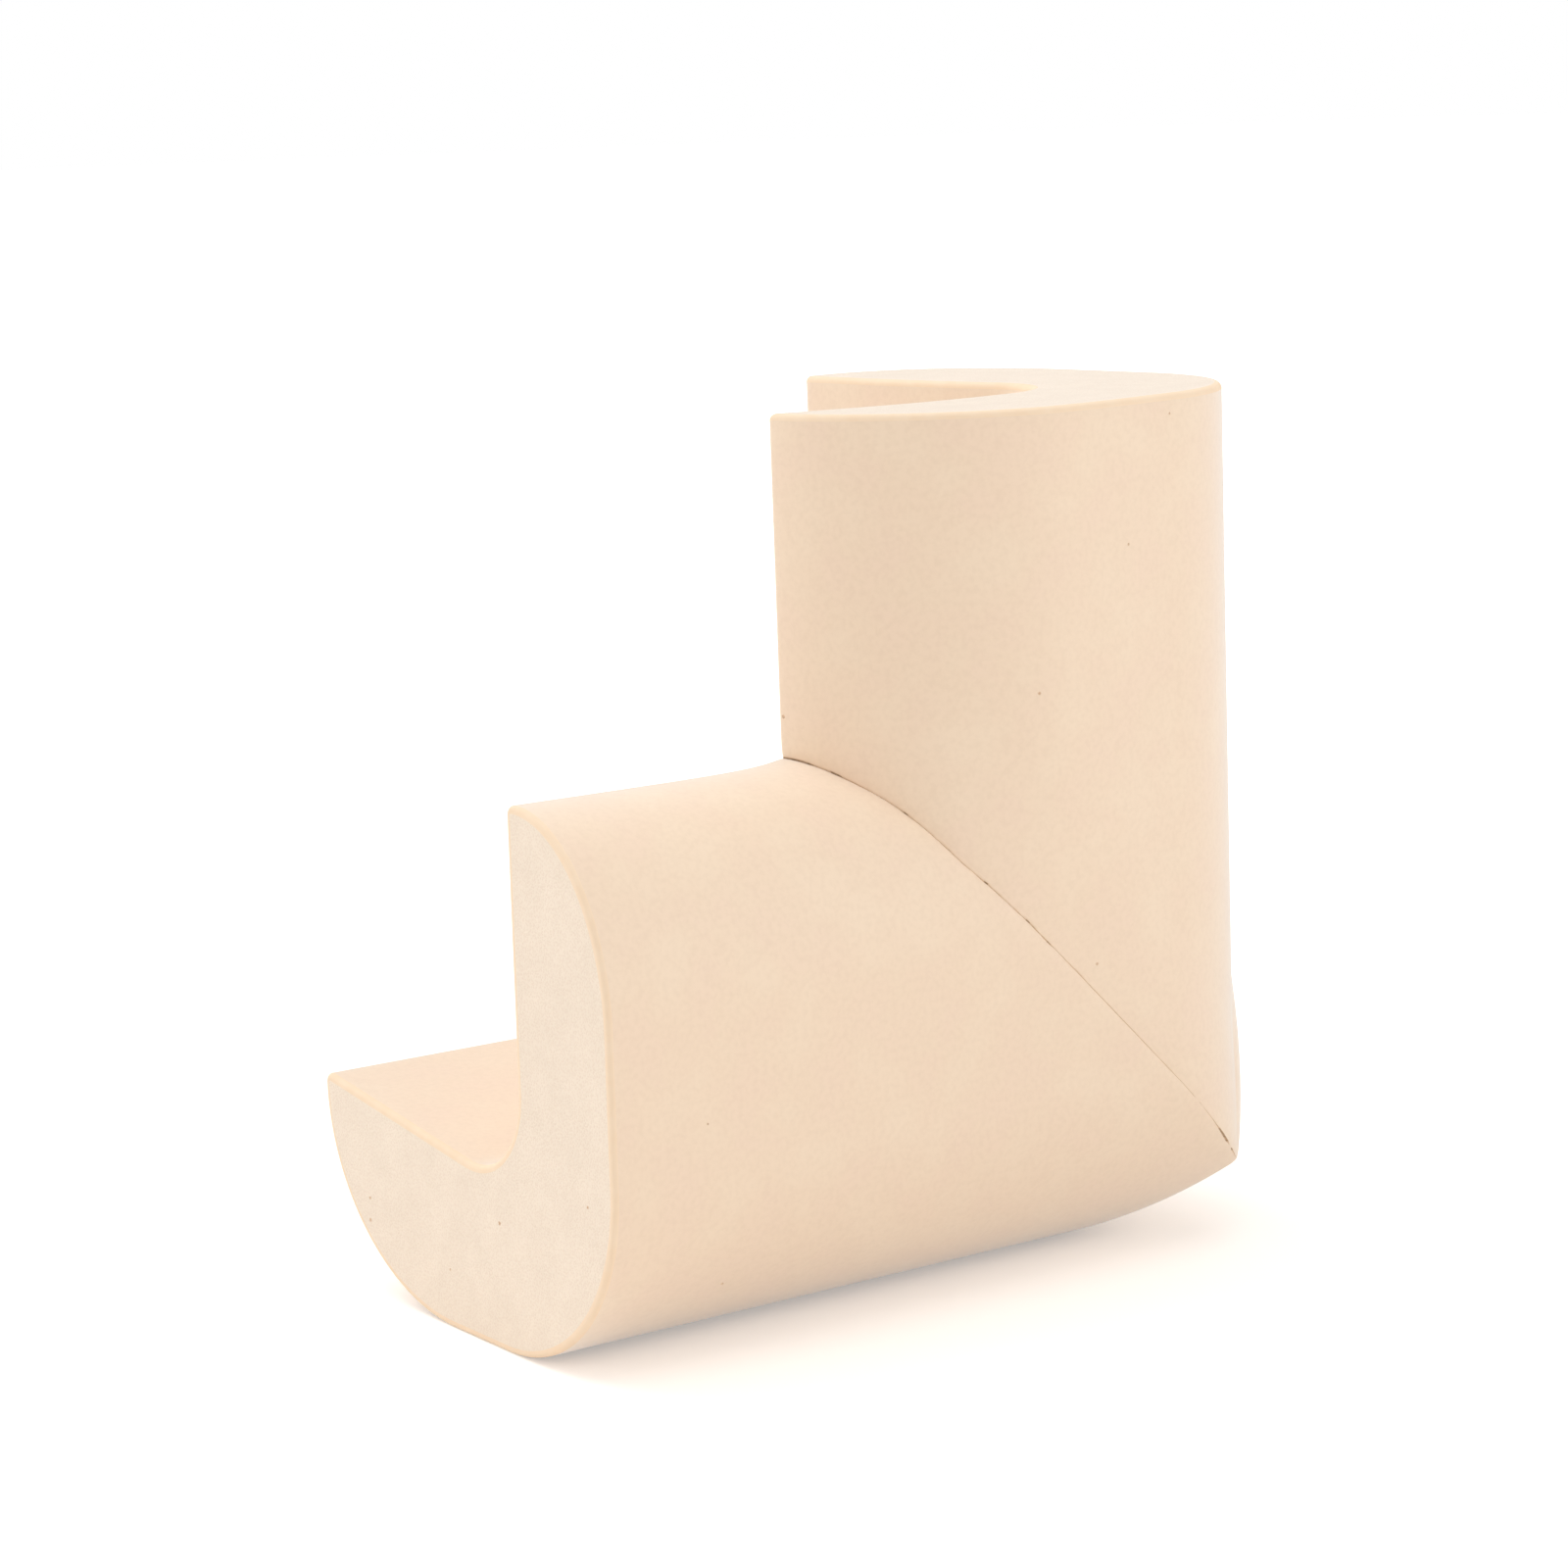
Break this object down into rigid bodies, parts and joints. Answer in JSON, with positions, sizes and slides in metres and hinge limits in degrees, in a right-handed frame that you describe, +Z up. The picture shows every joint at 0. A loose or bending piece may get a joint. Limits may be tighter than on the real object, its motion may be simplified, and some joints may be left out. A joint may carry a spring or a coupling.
{
  "type": "furniture corner protector",
  "caption": "Right-angle foam guard folded from rounded L-section edging, with a bonded mitre seam in front, that sticks over the face and edges of a furniture corner.",
  "frame": {"origin": "middle of the lying arm's bonding face, which is the back of its front flange", "axes": "+Y out of that face into the furniture, +X along the lying arm to the fold, +Z up the upright arm"},
  "size_m": [0.06, 0.0369, 0.06],
  "materials": {
    "foam": "matt skin on closed-cell foam, light beige, with finely porous cut ends"
  },
  "bodies": {
    "root": {"folded_foam": "foam"}
  },
  "joints": []
}
